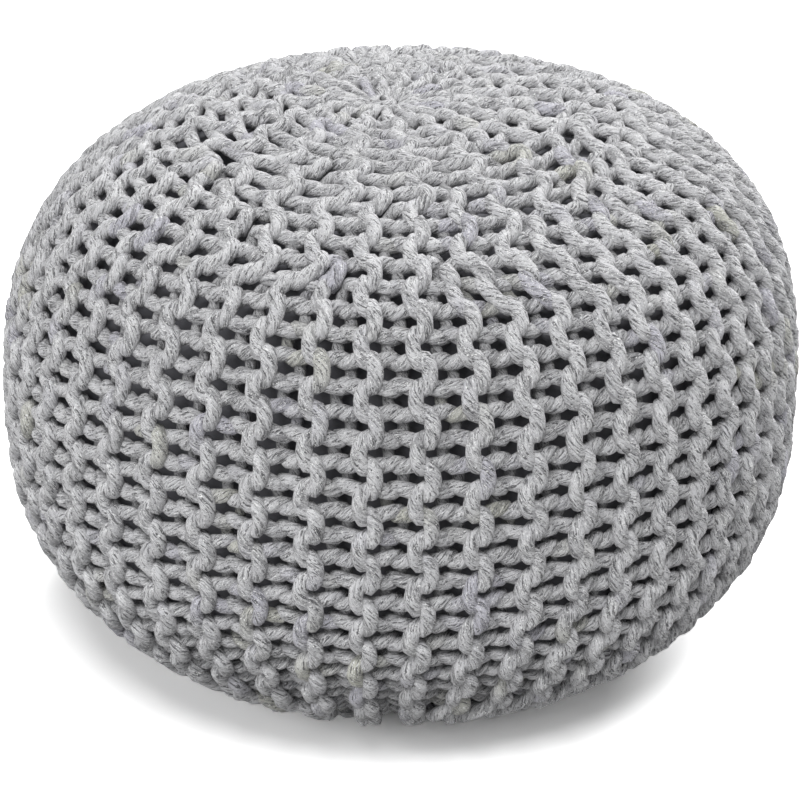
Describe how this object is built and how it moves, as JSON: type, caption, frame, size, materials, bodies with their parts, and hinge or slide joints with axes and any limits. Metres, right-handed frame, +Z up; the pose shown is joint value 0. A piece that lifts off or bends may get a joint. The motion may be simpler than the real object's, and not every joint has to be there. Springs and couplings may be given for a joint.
{
  "type": "knitted pouf",
  "caption": "Round low pouf with a chunky garter-stitch cord cover, drawn in at top and underside over a filled bag, with a flat foot.",
  "frame": {"origin": "on the floor, under the middle of the pouf", "axes": "+Z up, -Y towards the side that is seen from the front, +X to its right; the ridges run up and down"},
  "size_m": [0.4995, 0.4998, 0.3593],
  "materials": {
    "cotton_cord": "thick spun cotton cord, heathered light grey, matt with short fuzz",
    "bag_cloth": "plain woven lining cloth, dark grey, matt"
  },
  "bodies": {
    "root": {"knitted_cover": "cotton_cord", "inner_bag": "bag_cloth"}
  },
  "joints": []
}
